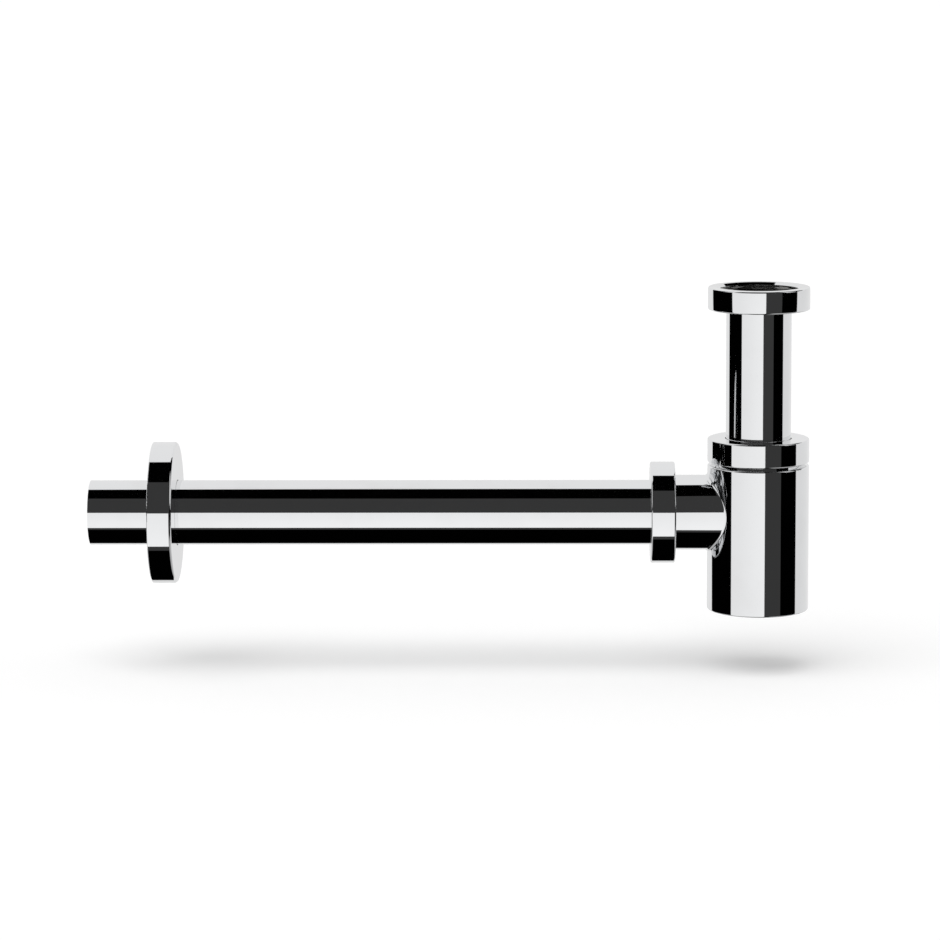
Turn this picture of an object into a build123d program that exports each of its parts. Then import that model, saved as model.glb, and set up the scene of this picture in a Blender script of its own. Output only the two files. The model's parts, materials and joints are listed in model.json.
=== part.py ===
from build123d import *
import os

# Bottle trap for a basin. Millimetres, +Z up, the wall lies towards -X.
# The origin is the centre of the inlet washer's top face, where the basin waste's tail lands.

# pipework
tube_dia = 32.0
tube_wall = 1.0
tube_mouth_radius = 0.6
dip_tube_length = 142.0
flare_gap = 0.38
flare_thickness = 1.4
wall_pipe_length = 300.0
pipe_insertion = 16.7

# what every nut shares
nut_wall = 4.1
nut_floor = 2.4
nut_edge_radius = 0.8
nut_hole_radius = 0.3
slide_gap = 0.3
slip_ring_thickness = 0.8

# inlet union: its plain thread bore is counted outwards from the tube
inlet_nut_height = 11.2
inlet_bore_gap = 3.48
inlet_relief_depth = 0.8
inlet_mouth_chamfer = 1.2
washer_thickness = 2.6
washer_gap = 0.28
washer_bore_inset = 0.8

# gland joints on the body's neck and on the outlet: gaps and walls counted outwards from the tube
gland_bore_gap = 1.2
gland_step = 0.4
gland_cone_spread = 1.4
gland_cone_depth = 5.0
gland_neck_wall = 1.9
thread_gap = 0.08
thread_chamfer = 0.6
seal_gap = 0.05
seal_lip_inset = 1.1
seal_lip_thickness = 2.0
seal_edge_radius = 0.4
slip_ring_inset = 0.7
body_nut_height = 11.8
outlet_nut_height = 12.0

# body
body_wall = 1.6
body_edge_radius = 0.6
outlet_drop = 108.3
ledge_above_outlet = 24.0
ledge_thickness = 3.0
neck_height = 8.0
neck_relief_height = 1.4
neck_relief_depth = 0.9
tube_end_clearance = 5.5
floor_thickness = 3.0
inside_corner_radius = 2.5

# outlet spigot
spigot_wall = 1.3
spigot_reach = 48.0
collar_length = 6.2
junction_radius = 1.5

# clean-out plug in the base
plug_head_dia = 34.0
plug_head_thickness = 2.0
plug_head_gap = 0.3
plug_edge_radius = 0.4
plug_seat_width = 3.0
plug_thread_length = 3.5
plug_boss_wall = 3.0
plug_seal_thickness = 1.0
plug_seal_gap = 0.3
key_across_flats = 12.0
key_depth = 4.4

# wall flange
pipe_past_wall = 31.3
flange_dia = 70.0
flange_depth = 12.0
flange_face_thickness = 1.6
flange_rim_thickness = 1.6
flange_edge_radius = 1.4
flange_back_radius = 0.4
flange_hub_wall = 4.5
flange_hub_length = 8.5
grip_ring_section = 2.3
grip_groove_gap = 0.05
grip_groove_from_face = 5.2

# diameters that follow from the tube's
gland_bore = tube_dia + 2 * gland_bore_gap
gland_throat_dia = gland_bore + 2 * gland_step
gland_mouth_dia = gland_throat_dia + 2 * gland_cone_spread
gland_thread_dia = gland_mouth_dia + 2 * gland_neck_wall
nut_dia = gland_thread_dia + 2 * nut_wall
body_dia = nut_dia
spigot_dia = gland_bore + 2 * spigot_wall
seal_lip_dia = gland_thread_dia - 2 * seal_lip_inset
slip_ring_dia = seal_lip_dia - 2 * slip_ring_inset
inlet_thread_bore = tube_dia + 2 * inlet_bore_gap
washer_dia = inlet_thread_bore - 2 * washer_gap
washer_bore = tube_dia - 2 * washer_bore_inset
flare_dia = inlet_thread_bore - 2 * flare_gap
plug_thread_dia = plug_head_dia - 2 * plug_seat_width
flange_hub_dia = tube_dia + 2 * flange_hub_wall

# radii used by more than one piece
tube_radius = tube_dia / 2
tube_bore_radius = tube_radius - tube_wall
sliding_hole_radius = tube_radius + slide_gap
thread_radius = gland_thread_dia / 2
seal_bore_radius = tube_radius + seal_gap

# heights and places worked out from the sizes above
flare_top = -washer_thickness
flare_bottom = flare_top - flare_thickness
inlet_floor = flare_bottom - slip_ring_thickness
inlet_nut_bottom = inlet_floor - nut_floor
inlet_rim = inlet_nut_bottom + inlet_nut_height
ledge = ledge_above_outlet - outlet_drop
neck_mouth = ledge + neck_height
tube_end = flare_top - dip_tube_length
boss_top = tube_end - tube_end_clearance
plug_seat = boss_top - plug_thread_length
base = plug_seat - plug_seal_thickness - plug_head_thickness
pipe_start = spigot_reach - pipe_insertion
wall_distance = pipe_start + wall_pipe_length - pipe_past_wall

# each gland is drawn on its own axis: 0 is the neck's mouth and up is out of the body
body_gland = Pos(0, 0, neck_mouth)
outlet_axis = Pos(0, 0, -outlet_drop) * Rot(0, -90, 0)
outlet_gland = outlet_axis * Pos(0, 0, spigot_reach)


# solid turned about Z from (radius, height) points, with named corners rounded
def turned(points, rounded=None):
    outline = make_face(Polyline(*points, close=True))
    for corner, radius in (rounded or {}).items():
        outline = fillet(outline.vertices().sort_by_distance(corner)[0], radius)
    return revolve(Plane.XZ * outline, Axis.Z)


# straight-sided ring between two radii and two heights
def ring(inner, outer, low, high):
    return turned([(inner, low), (outer, low), (outer, high), (inner, high)])


# brass tube with its top end flared out flat, so that the inlet nut can draw it up
def dip_tube():
    return turned(
        [
            (tube_bore_radius, tube_end),
            (tube_radius, tube_end),
            (tube_radius, flare_bottom),
            (flare_dia / 2, flare_bottom),
            (flare_dia / 2, flare_top),
            (tube_bore_radius, flare_top),
        ],
        {(tube_bore_radius, flare_top): tube_mouth_radius},
    )


def inlet_washer():
    return ring(washer_bore / 2, washer_dia / 2, flare_top, 0)


def inlet_slip_ring():
    return ring(sliding_hole_radius, flare_dia / 2, inlet_floor, flare_bottom)


# round union nut: a chamfered mouth, a thread down to the washer's top face, a wider relief
# round the washer and the flare, and a floor that lifts the flare
def inlet_nut():
    bore = inlet_thread_bore / 2
    return turned(
        [
            (sliding_hole_radius, inlet_nut_bottom),
            (nut_dia / 2, inlet_nut_bottom),
            (nut_dia / 2, inlet_rim),
            (bore + inlet_mouth_chamfer, inlet_rim),
            (bore, inlet_rim - inlet_mouth_chamfer),
            (bore, 0),
            (bore + inlet_relief_depth, 0),
            (bore + inlet_relief_depth, inlet_floor),
            (sliding_hole_radius, inlet_floor),
        ],
        {
            (nut_dia / 2, inlet_nut_bottom): nut_edge_radius,
            (nut_dia / 2, inlet_rim): nut_edge_radius,
            (sliding_hole_radius, inlet_nut_bottom): nut_hole_radius,
        },
    )


# space inside a gland: plain bore, then a cone that opens to the mouth
def gland_space(inner_end, mouth):
    cone_start = mouth - gland_cone_depth
    return turned(
        [
            (0, inner_end),
            (gland_bore / 2, inner_end),
            (gland_bore / 2, cone_start),
            (gland_throat_dia / 2, cone_start),
            (gland_mouth_dia / 2, mouth),
            (0, mouth),
        ]
    )


# tapered rubber ring: a cone that wedges into the mouth under a flat lip
def gland_seal():
    return turned(
        [
            (seal_bore_radius, -gland_cone_depth),
            (gland_throat_dia / 2 - seal_gap, -gland_cone_depth),
            (gland_mouth_dia / 2 - seal_gap, 0),
            (seal_lip_dia / 2, 0),
            (seal_lip_dia / 2, seal_lip_thickness),
            (seal_bore_radius, seal_lip_thickness),
        ],
        {(seal_lip_dia / 2, seal_lip_thickness): seal_edge_radius},
    )


def gland_slip_ring():
    low = seal_lip_thickness
    return ring(sliding_hole_radius, slip_ring_dia / 2, low, low + slip_ring_thickness)


# round cap nut that presses the slip ring and the seal onto the neck
def gland_nut(height):
    under_floor = seal_lip_thickness + slip_ring_thickness
    top = under_floor + nut_floor
    bottom = top - height
    bore = thread_radius + thread_gap
    return turned(
        [
            (sliding_hole_radius, top),
            (nut_dia / 2, top),
            (nut_dia / 2, bottom),
            (bore + thread_chamfer, bottom),
            (bore, bottom + thread_chamfer),
            (bore, under_floor),
            (sliding_hole_radius, under_floor),
        ],
        {
            (nut_dia / 2, top): nut_edge_radius,
            (nut_dia / 2, bottom): nut_edge_radius,
            (sliding_hole_radius, top): nut_hole_radius,
        },
    )


# outside of the cup with its ledge and threaded neck
def cup_outside():
    relief = thread_radius - neck_relief_depth
    return turned(
        [
            (0, base),
            (body_dia / 2, base),
            (body_dia / 2, ledge),
            (relief, ledge),
            (relief, ledge + neck_relief_height),
            (thread_radius, ledge + neck_relief_height),
            (thread_radius, neck_mouth - thread_chamfer),
            (thread_radius - thread_chamfer, neck_mouth),
            (0, neck_mouth),
        ],
        {
            (body_dia / 2, base): body_edge_radius,
            (body_dia / 2, ledge): nut_edge_radius,
        },
    )


# water space of the cup, round a boss that takes the clean-out plug
def cup_inside():
    wall = body_dia / 2 - body_wall
    boss = plug_head_dia / 2 + plug_head_gap + plug_boss_wall
    shoulder = ledge - ledge_thickness
    return turned(
        [
            (0, boss_top),
            (boss, boss_top),
            (boss, base + floor_thickness),
            (wall, base + floor_thickness),
            (wall, shoulder),
            (0, shoulder),
        ],
        {(wall, shoulder): inside_corner_radius},
    )


# side outlet, drawn outwards from the cup's axis, with its threaded collar
def spigot_outside():
    collar_start = spigot_reach - collar_length
    return turned(
        [
            (0, 0),
            (spigot_dia / 2, 0),
            (spigot_dia / 2, collar_start),
            (thread_radius, collar_start),
            (thread_radius, spigot_reach - thread_chamfer),
            (thread_radius - thread_chamfer, spigot_reach),
            (0, spigot_reach),
        ]
    )


# stepped hole in the base: recess for the plug's head, then its thread
def plug_hole():
    recess = plug_head_dia / 2 + plug_head_gap
    bore = plug_thread_dia / 2 + thread_gap
    return turned(
        [
            (0, base),
            (recess, base),
            (recess, plug_seat),
            (bore, plug_seat),
            (bore, boss_top),
            (0, boss_top),
        ]
    )


def trap_body():
    outside = cup_outside() + outlet_axis * spigot_outside()
    plain = (GeomType.LINE, GeomType.CIRCLE)
    junction = outside.edges().filter_by(lambda edge: edge.geom_type not in plain)
    outside = fillet(junction, junction_radius)
    neck_space = gland_space(ledge - ledge_thickness, neck_mouth)
    outlet_space = outlet_axis * gland_space(0, spigot_reach)
    return outside - cup_inside() - neck_space - outlet_space - plug_hole()


# flush plug with a hexagonal key recess
def base_plug():
    plug = turned(
        [
            (0, base),
            (plug_head_dia / 2, base),
            (plug_head_dia / 2, base + plug_head_thickness),
            (plug_thread_dia / 2, base + plug_head_thickness),
            (plug_thread_dia / 2, boss_top),
            (0, boss_top),
        ],
        {(plug_head_dia / 2, base): plug_edge_radius},
    )
    key = RegularPolygon(key_across_flats / 2, 6, major_radius=False)
    return plug - Pos(0, 0, base) * extrude(key, key_depth)


def base_plug_seal():
    inner = plug_thread_dia / 2 + plug_seal_gap
    return ring(inner, plug_head_dia / 2, base + plug_head_thickness, plug_seat)


def wall_pipe():
    return ring(tube_bore_radius, tube_radius, pipe_start, pipe_start + wall_pipe_length)


# where the grip ring's centre lies, outwards from the trap's axis
grip_place = wall_distance - flange_depth + grip_groove_from_face
grip_centre_radius = tube_radius + seal_gap + grip_ring_section / 2


# deep round cover, hollow towards the wall, with a grooved hub that rides on the pipe
def wall_flange():
    face = wall_distance - flange_depth
    inner_face = face + flange_face_thickness
    hub = flange_hub_dia / 2
    rim = flange_dia / 2 - flange_rim_thickness
    cover = turned(
        [
            (sliding_hole_radius, face),
            (flange_dia / 2, face),
            (flange_dia / 2, wall_distance),
            (rim, wall_distance),
            (rim, inner_face),
            (hub, inner_face),
            (hub, face + flange_hub_length),
            (sliding_hole_radius, face + flange_hub_length),
        ],
        {
            (flange_dia / 2, face): flange_edge_radius,
            (flange_dia / 2, wall_distance): flange_back_radius,
        },
    )
    groove_half = grip_ring_section / 2 + grip_groove_gap
    groove = ring(
        tube_radius,
        grip_centre_radius + groove_half,
        grip_place - groove_half,
        grip_place + groove_half,
    )
    return cover - groove


def flange_grip_ring():
    return Pos(0, 0, grip_place) * Torus(grip_centre_radius, grip_ring_section / 2)


pieces = {
    "dip_tube": dip_tube(),
    "inlet_washer": inlet_washer(),
    "inlet_slip_ring": inlet_slip_ring(),
    "inlet_nut": inlet_nut(),
    "tube_seal": body_gland * gland_seal(),
    "body_slip_ring": body_gland * gland_slip_ring(),
    "body_nut": body_gland * gland_nut(body_nut_height),
    "trap_body": trap_body(),
    "base_plug_seal": base_plug_seal(),
    "base_plug": base_plug(),
    "outlet_seal": outlet_gland * gland_seal(),
    "outlet_slip_ring": outlet_gland * gland_slip_ring(),
    "outlet_nut": outlet_gland * gland_nut(outlet_nut_height),
    "wall_pipe": outlet_axis * wall_pipe(),
    "wall_flange": outlet_axis * wall_flange(),
    "flange_grip_ring": outlet_axis * flange_grip_ring(),
}

os.makedirs("parts", exist_ok=True)
for name, piece in pieces.items():
    export_step(piece, f"parts/{name}.step")
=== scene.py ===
import json
import math
import bmesh
import bpy
from mathutils import Matrix, Vector


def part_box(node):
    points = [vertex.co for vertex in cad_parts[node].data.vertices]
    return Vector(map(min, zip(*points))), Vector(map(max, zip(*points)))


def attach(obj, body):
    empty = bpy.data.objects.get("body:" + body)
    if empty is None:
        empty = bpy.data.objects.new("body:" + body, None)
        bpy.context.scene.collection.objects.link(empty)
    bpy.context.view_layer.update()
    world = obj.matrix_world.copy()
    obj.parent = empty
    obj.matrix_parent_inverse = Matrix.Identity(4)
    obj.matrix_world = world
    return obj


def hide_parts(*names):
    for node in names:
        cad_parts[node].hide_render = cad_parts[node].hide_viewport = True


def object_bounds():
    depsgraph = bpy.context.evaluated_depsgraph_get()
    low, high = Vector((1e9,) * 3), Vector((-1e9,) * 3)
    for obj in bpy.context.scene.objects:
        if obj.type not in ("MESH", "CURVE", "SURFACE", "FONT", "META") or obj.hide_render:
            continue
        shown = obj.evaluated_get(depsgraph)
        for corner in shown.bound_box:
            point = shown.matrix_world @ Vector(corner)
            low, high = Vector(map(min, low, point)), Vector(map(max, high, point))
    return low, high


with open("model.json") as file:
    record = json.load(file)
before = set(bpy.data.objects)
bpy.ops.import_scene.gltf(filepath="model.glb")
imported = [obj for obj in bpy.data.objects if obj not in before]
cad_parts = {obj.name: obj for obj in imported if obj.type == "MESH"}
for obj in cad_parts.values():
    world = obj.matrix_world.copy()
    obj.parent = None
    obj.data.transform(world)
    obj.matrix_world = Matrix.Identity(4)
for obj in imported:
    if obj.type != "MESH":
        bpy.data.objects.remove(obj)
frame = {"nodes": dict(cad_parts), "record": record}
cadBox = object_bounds()
print("loaded", len(frame["nodes"]), "pieces")

degrees = math.degrees(1)
white = (1, 1, 1, 1)


# corners of a piece of the frame, in metres
def lowest(node):
    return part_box(node)[0]


def highest(node):
    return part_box(node)[1]


# a socket that can be used in sums
class Signal:
    def __init__(self, sheet, socket):
        self.sheet = sheet
        self.socket = socket

    def __add__(self, other):
        return self.sheet.maths("ADD", self, other)

    def __radd__(self, other):
        return self.sheet.maths("ADD", other, self)

    def __sub__(self, other):
        return self.sheet.maths("SUBTRACT", self, other)

    def __rsub__(self, other):
        return self.sheet.maths("SUBTRACT", other, self)

    def __mul__(self, other):
        return self.sheet.maths("MULTIPLY", self, other)

    def __rmul__(self, other):
        return self.sheet.maths("MULTIPLY", other, self)

    def __truediv__(self, other):
        return self.sheet.maths("DIVIDE", self, other)

    def __rtruediv__(self, other):
        return self.sheet.maths("DIVIDE", other, self)

    def __pow__(self, other):
        return self.sheet.maths("POWER", self, other)

    def __rpow__(self, other):
        return self.sheet.maths("POWER", other, self)

    def __neg__(self):
        return self.sheet.maths("MULTIPLY", self, -1)


# the nodes of one material or of the world
class NodeSheet:
    def __init__(self, tree):
        self.tree = tree
        tree.nodes.clear()

    # settings go first, then values or links of the sockets
    def node(self, kind, settings=None, sockets=None, output=0):
        made = self.tree.nodes.new(kind)
        for name, value in (settings or {}).items():
            setattr(made, name, value)
        for name, value in (sockets or {}).items():
            if isinstance(value, Signal):
                self.tree.links.new(value.socket, made.inputs[name])
            else:
                made.inputs[name].default_value = value
        return Signal(self, made.outputs[output]) if made.outputs else made

    def maths(self, operation, *values):
        return self.node("ShaderNodeMath", {"operation": operation}, dict(enumerate(values)))

    # 0 below low, 1 above high, smooth between
    def rise(self, value, low, high):
        return self.node(
            "ShaderNodeMapRange",
            {"interpolation_type": "SMOOTHSTEP"},
            {"Value": value, "From Min": low, "From Max": high},
        )

    # 1 between low and high, with soft edges this wide
    def between(self, value, low, high, edge):
        return self.rise(value, low - edge / 2, low + edge / 2) * (
            1 - self.rise(value, high - edge / 2, high + edge / 2)
        )

    def noise(self, place, scale, detail=3):
        return self.node(
            "ShaderNodeTexNoise", None, {"Vector": place, "Scale": scale, "Detail": detail}
        )

    def parts(self, vector):
        split = self.node("ShaderNodeSeparateXYZ", None, {0: vector}).socket.node
        return [Signal(self, socket) for socket in split.outputs]

    # 1 for a ray of this kind, as the Light Path node names it
    def ray(self, kind):
        return self.node("ShaderNodeLightPath", output=kind)

    def blend(self, factor, first, second):
        return self.node(
            "ShaderNodeMix", {"data_type": "RGBA"}, {"Factor": factor, 6: first, 7: second}, output=2
        )

    def blendShaders(self, factor, first, second):
        return self.node("ShaderNodeMixShader", None, {0: factor, 1: first, 2: second})


# place in metres, angles in degrees, lens and sensor in millimetres
cameraSetup = {
    "place": (-0.10471, -1.78317, 0.20034),
    "yaw": -1.951,
    "pitch": 7.673,
    "roll": -0.367,
    "lens": 139.54,
    "sensor": 36,
    "shift": (0.05, -0.1),
    "sight": (0.01, 50),  # nearest and furthest that it sees, in metres
}


def placeCamera():
    yaw, pitch, roll = (math.radians(cameraSetup[name]) for name in ("yaw", "pitch", "roll"))
    forward = Vector(
        (math.sin(yaw) * math.cos(pitch), math.cos(yaw) * math.cos(pitch), -math.sin(pitch))
    )
    level = Vector((math.cos(yaw), -math.sin(yaw), 0))
    above = level.cross(forward)
    right = level * math.cos(roll) + above * math.sin(roll)
    up = above * math.cos(roll) - level * math.sin(roll)
    data = bpy.data.cameras.new("camera")
    data.sensor_width = cameraSetup["sensor"]
    data.lens = cameraSetup["lens"]
    data.shift_x, data.shift_y = cameraSetup["shift"]
    data.clip_start, data.clip_end = cameraSetup["sight"]
    camera = bpy.data.objects.new("camera", data)
    bpy.context.collection.objects.link(camera)
    turn = Matrix((right, up, -forward)).transposed().to_4x4()
    camera.matrix_world = Matrix.Translation(cameraSetup["place"]) @ turn
    bpy.context.scene.camera = camera


placeCamera()
print("camera placed")

# what the plating mirrors: from where to where, in degrees, round from the camera's side towards
# +X and in height above the horizon, and how bright, where 1 is white
studio = {
    "edge": 1.2,  # how soft every edge is
    "blackLevel": 0.0002,
    "greyRound": (-66.0, 50.0),
    "greyHeight": (-55.0, 59.4),
    "greyLevel": 0.0425,
    "softboxRound": (-66.0, 12.4),
    "softboxHeight": (-47.5, 7.9),
    "softboxLevel": 0.928,
    "softboxAcross": 0.088,  # brighter towards +X
    "softboxDown": 0.065,  # brighter towards its foot
    "backRight": (92.5, 137.0),  # the backdrop's right edge, low down and high up
    "backLeft": (-131.5, -100.5),
    "backBend": (15.0, 32.0),  # heights between which both edges move over
    "backHeight": (-42.0, 78.1),
    "backMiddle": 178.0,
    "backRightLevel": 0.825,
    "backMiddleLevel": 0.88,
    "backLeftLevel": 0.885,
    "backTopHeight": (10.0, 50.0),
    "backTopRise": 0.04,
    "backLowRound": (158.0, 170.0),
    "backLowHeight": (4.0, 11.0),
    "backLowDrop": 0.085,
    "panelRound": (62.0, 90.0),
    "panelHeight": (12.0, 58.0),
    "panelLevel": 0.85,
    "floorAside": (0.28, 0.45),  # share of the direction that points sideways
    "floorHeight": (-35.0, -22.0),
    "floorLevel": 0.5,
    "fill": 0.62,  # even light on matt surfaces
    "sun": 1.3,
    "sunWidth": 50.0,
    "sunTilt": (18.0, -14.0, 0.0),
}


# the backdrop behind the object, from the right round to the left
def backdropLevel(sheet, around, height):
    edge = studio["edge"]
    # higher up, both of its edges lie further to the left
    bend = sheet.rise(height, *studio["backBend"])
    rightLow, rightHigh = studio["backRight"]
    leftLow, leftHigh = studio["backLeft"]
    rightEdge = rightLow + bend * (rightHigh - rightLow)
    leftEdge = leftLow + bend * (leftHigh - leftLow)
    atRight = sheet.rise(around - rightEdge, -edge / 2, edge / 2)
    atLeft = 1 - sheet.rise(around - leftEdge, -edge / 2, edge / 2)
    # it brightens from its right edge to the middle, and a little higher up
    towardsMiddle = sheet.rise(around, rightLow, studio["backMiddle"])
    gain = studio["backMiddleLevel"] - studio["backRightLevel"]
    rightLevel = studio["backRightLevel"] + towardsMiddle * gain
    sides = atRight * rightLevel + atLeft * studio["backLeftLevel"]
    higher = (atRight + atLeft) * sheet.rise(height, *studio["backTopHeight"])
    # low in the middle it is a little darker
    middle = sheet.rise(sheet.maths("ABSOLUTE", around), *studio["backLowRound"])
    lowMiddle = middle * (1 - sheet.rise(height, *studio["backLowHeight"]))
    level = sides + higher * studio["backTopRise"] - lowMiddle * studio["backLowDrop"]
    return level * sheet.between(height, *studio["backHeight"], edge)


# brightness of the studio in every direction
def studioLevel(sheet):
    x, y, z = sheet.parts(sheet.node("ShaderNodeTexCoord", output="Generated"))
    around = sheet.maths("ARCTAN2", x, -y) * degrees
    height = sheet.maths("ARCSINE", z) * degrees
    edge = studio["edge"]

    def field(turn, roundSpan, heightSpan):
        return sheet.between(turn, *roundSpan, edge) * sheet.between(height, *heightSpan, edge)

    softbox = field(around, studio["softboxRound"], studio["softboxHeight"])
    acrossBox = sheet.rise(around, *studio["softboxRound"]) * studio["softboxAcross"]
    downBox = (1 - sheet.rise(height, *studio["softboxHeight"])) * studio["softboxDown"]
    boxLevel = studio["softboxLevel"] + acrossBox + downBox
    grey = field(around, studio["greyRound"], studio["greyHeight"])
    level = studio["blackLevel"] + grey * studio["greyLevel"]
    level = level * (1 - softbox) + softbox * boxLevel + backdropLevel(sheet, around, height)

    # two tall panels beside the object, and the pale floor away from the middle
    panels = field(sheet.maths("ABSOLUTE", around), studio["panelRound"], studio["panelHeight"])
    aside = sheet.rise(sheet.maths("ABSOLUTE", x), *studio["floorAside"])
    below = aside * (1 - sheet.rise(height, *studio["floorHeight"])) * (1 - softbox)
    level = level + panels * studio["panelLevel"]
    return level * (1 - below) + below * studio["floorLevel"]


# polished surfaces mirror the studio, matt ones get an even fill, and the camera sees white
def lightStudio():
    world = bpy.data.worlds.new("studio")
    world.use_nodes = True
    bpy.context.scene.world = world
    sheet = NodeSheet(world.node_tree)
    strengths = (studioLevel(sheet), studio["fill"], 1)
    mirrored, fill, plain = (
        sheet.node("ShaderNodeBackground", None, {"Color": white, "Strength": strength})
        for strength in strengths
    )
    polished = sheet.maths("MAXIMUM", sheet.ray("Is Glossy Ray"), sheet.ray("Is Transmission Ray"))
    seen = sheet.blendShaders(polished, fill, mirrored)
    seen = sheet.blendShaders(sheet.ray("Is Camera Ray"), seen, plain)
    sheet.node("ShaderNodeOutputWorld", None, {"Surface": seen})

    # large soft overhead light, for the shadow under the object
    lamp = bpy.data.lights.new("softOverhead", "SUN")
    lamp.energy = studio["sun"]
    lamp.angle = math.radians(studio["sunWidth"])
    overhead = bpy.data.objects.new("softOverhead", lamp)
    overhead.rotation_euler = [math.radians(tilt) for tilt in studio["sunTilt"]]
    overhead.visible_glossy = False
    bpy.context.collection.objects.link(overhead)


lightStudio()
print("studio lit")


# an empty material and the sheet of its nodes
def newFinish(name):
    material = bpy.data.materials.new(name)
    material.use_nodes = True
    return material, NodeSheet(material.node_tree)


floorSetup = {
    "drop": 0.03,  # from the object's lowest point, in metres
    "size": 30.0,
    "colour": (0.86, 0.86, 0.86, 1),
    "mottled": (0.87, 0.87, 0.87, 1),
    "mottleScale": 9.0,
    "glow": 0.16,  # light that only the camera sees
}


# matt and pale, a little brighter to the camera, and clear from underneath
def floorFinish():
    material, sheet = newFinish("paleFloor")
    mottle = sheet.noise(
        sheet.node("ShaderNodeNewGeometry", output="Position"), floorSetup["mottleScale"]
    )
    colour = sheet.blend(mottle, floorSetup["colour"], floorSetup["mottled"])
    matt = sheet.node("ShaderNodeBsdfDiffuse", None, {"Color": colour})
    glow = sheet.node(
        "ShaderNodeEmission", None, {"Color": white, "Strength": floorSetup["glow"]}
    )
    lit = sheet.node("ShaderNodeAddShader", None, {0: matt, 1: glow})
    top = sheet.blendShaders(sheet.ray("Is Camera Ray"), matt, lit)
    underneath = sheet.node("ShaderNodeNewGeometry", output="Backfacing")
    clear = sheet.node("ShaderNodeBsdfTransparent")
    whole = sheet.blendShaders(underneath, top, clear)
    sheet.node("ShaderNodeOutputMaterial", None, {"Surface": whole})
    return material


def layFloor():
    height = cadBox[0].z - floorSetup["drop"]
    half = floorSetup["size"] / 2
    around = [(-half, -half), (half, -half), (half, half), (-half, half)]
    mesh = bpy.data.meshes.new("floor")
    mesh.from_pydata([(x, y, height) for x, y in around], [], [(0, 1, 2, 3)])
    mesh.materials.append(floorFinish())
    floor = bpy.data.objects.new("floor", mesh)
    bpy.context.collection.objects.link(floor)
    floor.visible_glossy = False


layFloor()
print("floor laid")

# sizes that the pieces share, in metres; threads go by their radius
mounts = {mount["name"]: mount for mount in frame["record"]["mounts"]}
tubeRadius = highest("wall_pipe").y  # the dip tube's as well
outletHeight = (lowest("wall_pipe").z + highest("wall_pipe").z) / 2
inletThread = mounts["inlet"]["dims"]["r_mm"] / 1000
glandThread = 0.0209  # on the neck and on the collar
plugThread = 0.014
threadGap = 0.00008
slideGap = 0.0003  # round the dip tube, in the inlet nut
collarLength = 0.0062
unionPitch = 0.002309
plugPitch = 0.0015

# threads shown as relief, upright round the dip tube's axis or level round the outlet's
threads = {
    "bodyNut": {
        "upright": True,
        "radius": glandThread + threadGap,
        "low": lowest("body_nut").z,
        "high": highest("body_slip_ring").z,
        "pitch": unionPitch,
    },
    "neck": {
        "upright": True,
        "radius": glandThread,
        "low": lowest("body_nut").z,
        "high": highest("trap_body").z,
        "pitch": unionPitch,
    },
    "collar": {
        "upright": False,
        "radius": glandThread,
        "low": lowest("trap_body").x,
        "high": lowest("trap_body").x + collarLength,
        "pitch": unionPitch,
    },
    "outletNut": {
        "upright": False,
        "radius": glandThread + threadGap,
        "low": lowest("outlet_slip_ring").x,
        "high": highest("outlet_nut").x,
        "pitch": unionPitch,
    },
    "plug": {
        "upright": True,
        "radius": plugThread,
        "low": lowest("base_plug_seal").z,
        "high": highest("base_plug").z,
        "pitch": plugPitch,
    },
    "plugHole": {
        "upright": True,
        "radius": plugThread + threadGap,
        "low": highest("base_plug_seal").z,
        "high": highest("base_plug").z,
        "pitch": plugPitch,
    },
}

# what shows inside, where the polished plating doesn't reach
linings = {
    "brass": {"colour": (0.62, 0.47, 0.24, 1), "roughness": 0.34},
    "thinPlating": {"colour": (0.52, 0.515, 0.505, 1), "roughness": 0.1},
}

# inside this radius a piece is lined, up to these distances from its two ends
bores = {
    "tube": {
        "piece": "dip_tube",
        "upright": True,
        "radius": 0.0154,
        "fromLow": 0.0026,
        "fromHigh": 0.0094,
        "fade": 0.012,
        "lining": "brass",
    },
    "pipe": {
        "piece": "wall_pipe",
        "upright": False,
        "radius": 0.0154,
        "fromLow": 0.0133,
        "fromHigh": 0.0027,
        "fade": 0.012,
        "lining": "brass",
    },
    "cup": {
        "piece": "trap_body",
        "upright": True,
        "radius": 0.0238,
        "fromLow": 0.0036,
        "fromHigh": 0.0103,
        "fade": 0.0004,
        "lining": "brass",
    },
    "gland": {
        "piece": "trap_body",
        "upright": True,
        "radius": 0.0182,
        "fromLow": 0.0686,
        "fromHigh": 0.0,
        "fade": 0.0004,
        "lining": "brass",
    },
    "inletNut": {
        "piece": "inlet_nut",
        "upright": True,
        "radius": 0.0212,
        "fromLow": 0.0012,
        "fromHigh": 0.0014,
        "fade": 0.0006,
        "lining": "thinPlating",
    },
}

chromeSetup = {
    "colour": (0.80, 0.806, 0.815, 1),
    "dulled": (0.74, 0.742, 0.745, 1),
    "dulling": 0.35,  # how far haze turns the colour towards dulled
    "roughness": 0.025,
    "cloudScale": 60.0,
    "hazeFrom": (0.42, 0.74),  # where the cloud noise starts to be haze, and where it is all haze
    "hazeRoughness": 0.0125,
    "fineScale": 900.0,
    "fineRoughness": 0.008,
    "ripple": 0.000002,
    "wallEdge": 0.0001,
    "threadReach": 0.00025,  # how far from its radius a thread still counts
    "threadFade": 0.0004,
    "threadDepth": 0.0006,
    "threadRoughness": 0.12,
    "liningCover": 0.75,  # the fine noise gives the rest of its colour
}


# place along the dip tube's or the outlet's axis, and from it sideways and to the back
def fromAxis(sheet, place, upright):
    x, y, z = sheet.parts(place)
    return (z, x, y) if upright else (x, z - outletHeight, y)


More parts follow.
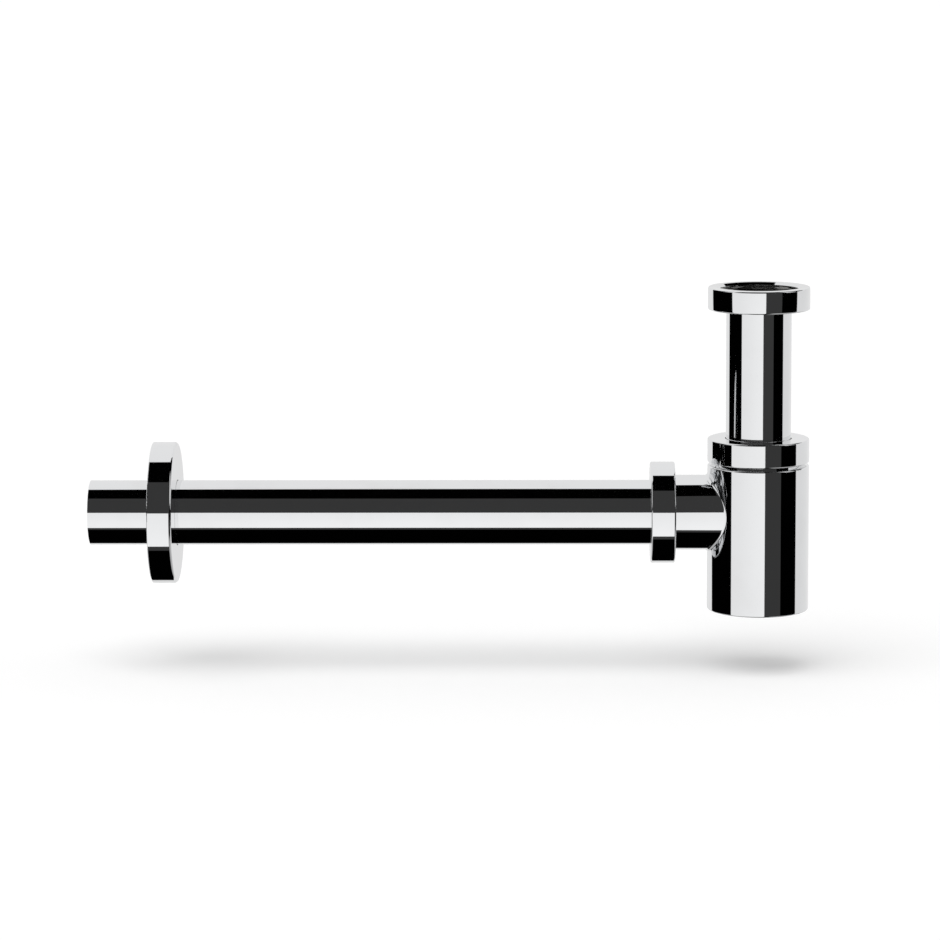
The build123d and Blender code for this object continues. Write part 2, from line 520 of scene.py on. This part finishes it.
# where a thread is cut, and its grooves' relief in metres
def cutThread(sheet, place, thread):
    along, across, back = fromAxis(sheet, place, thread["upright"])
    radius = (across**2 + back**2) ** 0.5
    turn = sheet.maths("ARCTAN2", back, across) * (1 / math.tau)
    inner = thread["radius"] - chromeSetup["threadReach"]
    outer = thread["radius"] + chromeSetup["threadReach"]
    onWall = sheet.between(radius, inner, outer, chromeSetup["wallEdge"])
    cut = onWall * sheet.between(along, thread["low"], thread["high"], chromeSetup["threadFade"])
    wave = sheet.maths("PINGPONG", along / thread["pitch"] + turn, 0.5)  # 0 to a half and back
    return cut, cut * wave * (2 * chromeSetup["threadDepth"])


# 1 inside a bore, where its lining shows
def insideBore(sheet, place, bore):
    along, across, back = fromAxis(sheet, place, bore["upright"])
    radius = (across**2 + back**2) ** 0.5
    edge = chromeSetup["wallEdge"]
    within = 1 - sheet.rise(radius, bore["radius"] - edge, bore["radius"] + edge)
    axis = 2 if bore["upright"] else 0
    low = lowest(bore["piece"])[axis] + bore["fromLow"]
    high = highest(bore["piece"])[axis] - bore["fromHigh"]
    return within * sheet.between(along, low, high, bore["fade"])


# closes a finish, with its relief in metres and the shader's other sockets
def closeFinish(sheet, relief, sockets):
    bump = sheet.node("ShaderNodeBump", None, {"Strength": 1, "Distance": 1, "Height": relief})
    shader = sheet.node("ShaderNodeBsdfPrincipled", None, sockets | {"Normal": bump})
    sheet.node("ShaderNodeOutputMaterial", None, {"Surface": shader})


# polished plating on brass, with its threads and lined bores
def chromeFinish(name, threadNames=(), boreNames=()):
    material, sheet = newFinish(name)
    place = sheet.node("ShaderNodeTexCoord", output="Object")
    # soft clouds of haze, as handling leaves, and a fine unevenness of the polish
    cloud = sheet.noise(place, chromeSetup["cloudScale"], detail=4)
    haze = sheet.rise(cloud, *chromeSetup["hazeFrom"])
    fine = sheet.noise(place, chromeSetup["fineScale"], detail=2)
    hazeRoughness = haze * chromeSetup["hazeRoughness"]
    roughness = chromeSetup["roughness"] + hazeRoughness + fine * chromeSetup["fineRoughness"]
    colour = sheet.blend(
        haze * chromeSetup["dulling"], chromeSetup["colour"], chromeSetup["dulled"]
    )
    relief = cloud * chromeSetup["ripple"]

    for threadName in threadNames:
        cut, grooves = cutThread(sheet, place, threads[threadName])
        relief = relief + grooves
        roughness = roughness + cut * chromeSetup["threadRoughness"]

    cover = chromeSetup["liningCover"]
    for boreName in boreNames:
        lining = linings[bores[boreName]["lining"]]
        inside = insideBore(sheet, place, bores[boreName])
        colour = sheet.blend(inside * (cover + (1 - cover) * fine), colour, lining["colour"])
        roughness = roughness + inside * (lining["roughness"] - chromeSetup["roughness"])

    closeFinish(sheet, relief, {"Base Color": colour, "Metallic": 1, "Roughness": roughness})
    return material


rubberSetup = {
    "colour": (0.018, 0.018, 0.019, 1),
    "dusty": (0.045, 0.044, 0.042, 1),
    "dusting": 0.6,  # how far dust turns the colour towards dusty
    "dustScale": 240.0,
    "dustFrom": (0.45, 0.75),
    "dustRoughness": 0.2,
    "roughness": 0.55,
    "grainScale": 2600.0,
    "grainRoughness": 0.1,
    "grainHeight": 0.00003,
}


# moulded rubber with a fine grain and a little dust
def rubberFinish():
    material, sheet = newFinish("blackRubber")
    place = sheet.node("ShaderNodeTexCoord", output="Object")
    grain = sheet.noise(place, rubberSetup["grainScale"])
    cloud = sheet.noise(place, rubberSetup["dustScale"], detail=4)
    dust = sheet.rise(cloud, *rubberSetup["dustFrom"])
    colour = sheet.blend(dust * rubberSetup["dusting"], rubberSetup["colour"], rubberSetup["dusty"])
    roughness = rubberSetup["roughness"] + dust * rubberSetup["dustRoughness"]
    roughness = roughness + grain * rubberSetup["grainRoughness"]
    relief = grain * rubberSetup["grainHeight"]
    closeFinish(sheet, relief, {"Base Color": colour, "Roughness": roughness})
    return material


nylonSetup = {
    "colour": (0.80, 0.79, 0.75, 1),
    "shade": (0.72, 0.70, 0.64, 1),
    "cloudScale": 130.0,
    "roughness": 0.38,
    "grainScale": 1500.0,
    "grainRoughness": 0.12,
    "grainHeight": 0.000012,
    "subsurface": 0.15,
    "subsurfaceReach": (0.002, 0.002, 0.0015),
}


# slip rings: pale moulded nylon, slightly cloudy
def nylonFinish():
    material, sheet = newFinish("whiteNylon")
    place = sheet.node("ShaderNodeTexCoord", output="Object")
    grain = sheet.noise(place, nylonSetup["grainScale"], detail=2)
    cloud = sheet.noise(place, nylonSetup["cloudScale"])
    sockets = {
        "Base Color": sheet.blend(cloud, nylonSetup["colour"], nylonSetup["shade"]),
        "Roughness": nylonSetup["roughness"] + grain * nylonSetup["grainRoughness"],
        "Subsurface Weight": nylonSetup["subsurface"],
        "Subsurface Radius": nylonSetup["subsurfaceReach"],
    }
    closeFinish(sheet, grain * nylonSetup["grainHeight"], sockets)
    return material


threadedChrome = chromeFinish("chromeInletNut", boreNames=["inletNut"])
rubber = rubberFinish()
nylon = nylonFinish()
finishes = {
    "dip_tube": chromeFinish("chromeDipTube", boreNames=["tube"]),
    "inlet_washer": rubber,
    "inlet_slip_ring": nylon,
    "inlet_nut": threadedChrome,
    "tube_seal": rubber,
    "body_slip_ring": nylon,
    "body_nut": chromeFinish("chromeBodyNut", ["bodyNut"]),
    "trap_body": chromeFinish("chromeBody", ["neck", "collar", "plugHole"], ["cup", "gland"]),
    "base_plug_seal": rubber,
    "base_plug": chromeFinish("chromePlug", ["plug"]),
    "outlet_seal": rubber,
    "outlet_slip_ring": nylon,
    "outlet_nut": chromeFinish("chromeOutletNut", ["outletNut"]),
    "wall_pipe": chromeFinish("chromeWallPipe", boreNames=["pipe"]),
    "wall_flange": chromeFinish("chromePlain"),
    "flange_grip_ring": rubber,
}
for name, finish in finishes.items():
    for materialSlot in frame["nodes"][name].material_slots:
        materialSlot.material = finish
print("finishes given to", len(finishes), "pieces")

# inlet nut with its real thread, in metres: the solid's outline, with grooves cut into its bore
inletNut = {
    "outer": highest("inlet_nut").x,
    "bottom": lowest("inlet_nut").z,
    "rim": highest("inlet_nut").z,
    "edgeRadius": 0.0008,
    "hole": tubeRadius + slideGap,
    "holeRadius": 0.0003,
    "floor": lowest("inlet_slip_ring").z,
    "reliefDepth": 0.0008,
    "threadDepth": 0.001479,
    "threadEnd": highest("inlet_washer").z,
    "threadStep": 0.00002,  # height of the step from the thread out to the relief
    "runOut": 0.0007,
    "runOutDepth": 0.5,  # share of the depth that is left where the thread ends
    "runIn": 0.00035,
    "mouthChamfer": 0.0012,
    "grooveTurn": -76.0,  # degrees round from +X where a groove meets the rim
    "sharpAngle": 32.0,
    "turnSteps": 256,
    "threadRows": 48,
    "roundSteps": 6,
}


# points of a rounded corner from one angle to another, in degrees
def roundedCorner(centreRadius, centreHeight, radius, start, end):
    points = []
    for step in range(inletNut["roundSteps"] + 1):
        angle = math.radians(start + (end - start) * step / inletNut["roundSteps"])
        points.append(
            (centreRadius + radius * math.cos(angle), centreHeight + radius * math.sin(angle))
        )
    return points


# 0 at the start, 1 after this length, straight between
def ramp(distance, length):
    return min(1, max(0, distance / length))


def threadRadius(angle, height):
    turns = (height - inletNut["rim"]) / unionPitch
    phase = angle - math.radians(inletNut["grooveTurn"]) - math.tau * turns
    # the groove starts below the chamfer, and gets shallower towards the relief
    chamferEnd = inletNut["rim"] - inletNut["mouthChamfer"]
    runIn = ramp(chamferEnd - height, inletNut["runIn"])
    fade = ramp(height - inletNut["threadEnd"], inletNut["runOut"])
    left = inletNut["runOutDepth"]
    depth = inletNut["threadDepth"] * (left + (1 - left) * fade) * runIn
    groove = inletThread + depth * (1 + math.cos(phase)) / 2
    cone = inletThread + height - chamferEnd
    return max(groove, cone)


# rows of (radius, height) points round the nut, each row one closed ring of the surface
def nutRows(angles):
    outer, edge = inletNut["outer"], inletNut["edgeRadius"]
    hole, holeEdge = inletNut["hole"], inletNut["holeRadius"]
    bottom, rim, end = inletNut["bottom"], inletNut["rim"], inletNut["threadEnd"]
    relief = inletThread + inletNut["reliefDepth"]
    outline = [(relief, inletNut["floor"]), (hole, inletNut["floor"])]
    outline += roundedCorner(hole + holeEdge, bottom + holeEdge, holeEdge, 180, 270)
    outline += roundedCorner(outer - edge, bottom + edge, edge, -90, 0)
    outline += roundedCorner(outer - edge, rim - edge, edge, 0, 90)
    rows = [[point] * len(angles) for point in outline]
    for row in range(inletNut["threadRows"] + 1):
        height = rim - (rim - end) * row / inletNut["threadRows"]
        rows.append([(threadRadius(angle, height), height) for angle in angles])
    rows.append([(relief, end - inletNut["threadStep"])] * len(angles))
    return rows


def buildInletNut():
    steps = inletNut["turnSteps"]
    angles = [math.tau * step / steps for step in range(steps)]
    nutMesh = bmesh.new()
    rings = []
    for row in nutRows(angles):
        ring = []
        for angle, (radius, height) in zip(angles, row):
            place = (radius * math.cos(angle), radius * math.sin(angle), height)
            ring.append(nutMesh.verts.new(place))
        rings.append(ring)
    for lower, upper in zip(rings, rings[1:] + rings[:1]):
        for step in range(steps):
            after = (step + 1) % steps
            face = nutMesh.faces.new((lower[step], lower[after], upper[after], upper[step]))
            face.smooth = True
    bmesh.ops.recalc_face_normals(nutMesh, faces=nutMesh.faces)
    mesh = bpy.data.meshes.new("inletNutThreaded")
    nutMesh.to_mesh(mesh)
    nutMesh.free()
    mesh.set_sharp_from_angle(angle=math.radians(inletNut["sharpAngle"]))
    mesh.materials.append(threadedChrome)
    piece = bpy.data.objects.new("inletNutThreaded", mesh)
    bpy.context.collection.objects.link(piece)
    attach(piece, "inlet_nut")
    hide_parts("inlet_nut")


buildInletNut()
print("inlet nut threaded")

bpy.context.scene.view_settings.view_transform = "Standard"
